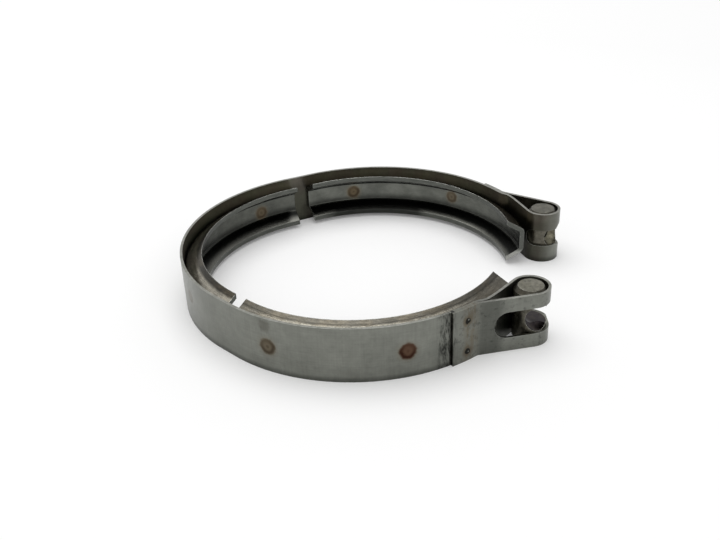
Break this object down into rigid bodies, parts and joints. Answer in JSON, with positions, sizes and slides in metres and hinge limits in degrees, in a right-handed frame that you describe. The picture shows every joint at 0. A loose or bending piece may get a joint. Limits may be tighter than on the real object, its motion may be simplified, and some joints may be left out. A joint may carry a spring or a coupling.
{
  "type": "exhaust clamp",
  "caption": "Sprung-open V-band exhaust clamp: steel strap with folded, slotted loop ends, V-section retainers inside and loose cross pins.",
  "frame": {"origin": "centre of the left retainer's arc, on the middle plane of the V groove", "axes": "+Z along the pipe axis, up as the clamp lies; +X towards the mouth between the strap's ends"},
  "size_m": [0.1575, 0.142, 0.022],
  "materials": {
    "strap": "satin rolled stainless strip, dull from use",
    "retainer_sheet": "pressed stainless sheet, drawn and heat tinted",
    "turned_steel": "turned steel, dull"
  },
  "bodies": {
    "ring": {"band": "strap", "retainer_rear": "retainer_sheet", "retainer_left": "retainer_sheet", "retainer_front": "retainer_sheet"},
    "front_pin": {"trunnion_front": "turned_steel"},
    "rear_pin": {"trunnion_rear": "turned_steel"}
  },
  "joints": [
    {"name": "front_pin_turn", "type": "hinge", "parent": "ring", "child": "front_pin", "pos_m": [0.06782, -0.04651, 0], "axis": [0, 0, 1], "continuous": true},
    {"name": "rear_pin_turn", "type": "hinge", "parent": "ring", "child": "rear_pin", "pos_m": [0.08468, 0.01743, 0], "axis": [0, 0, 1], "continuous": true}
  ]
}
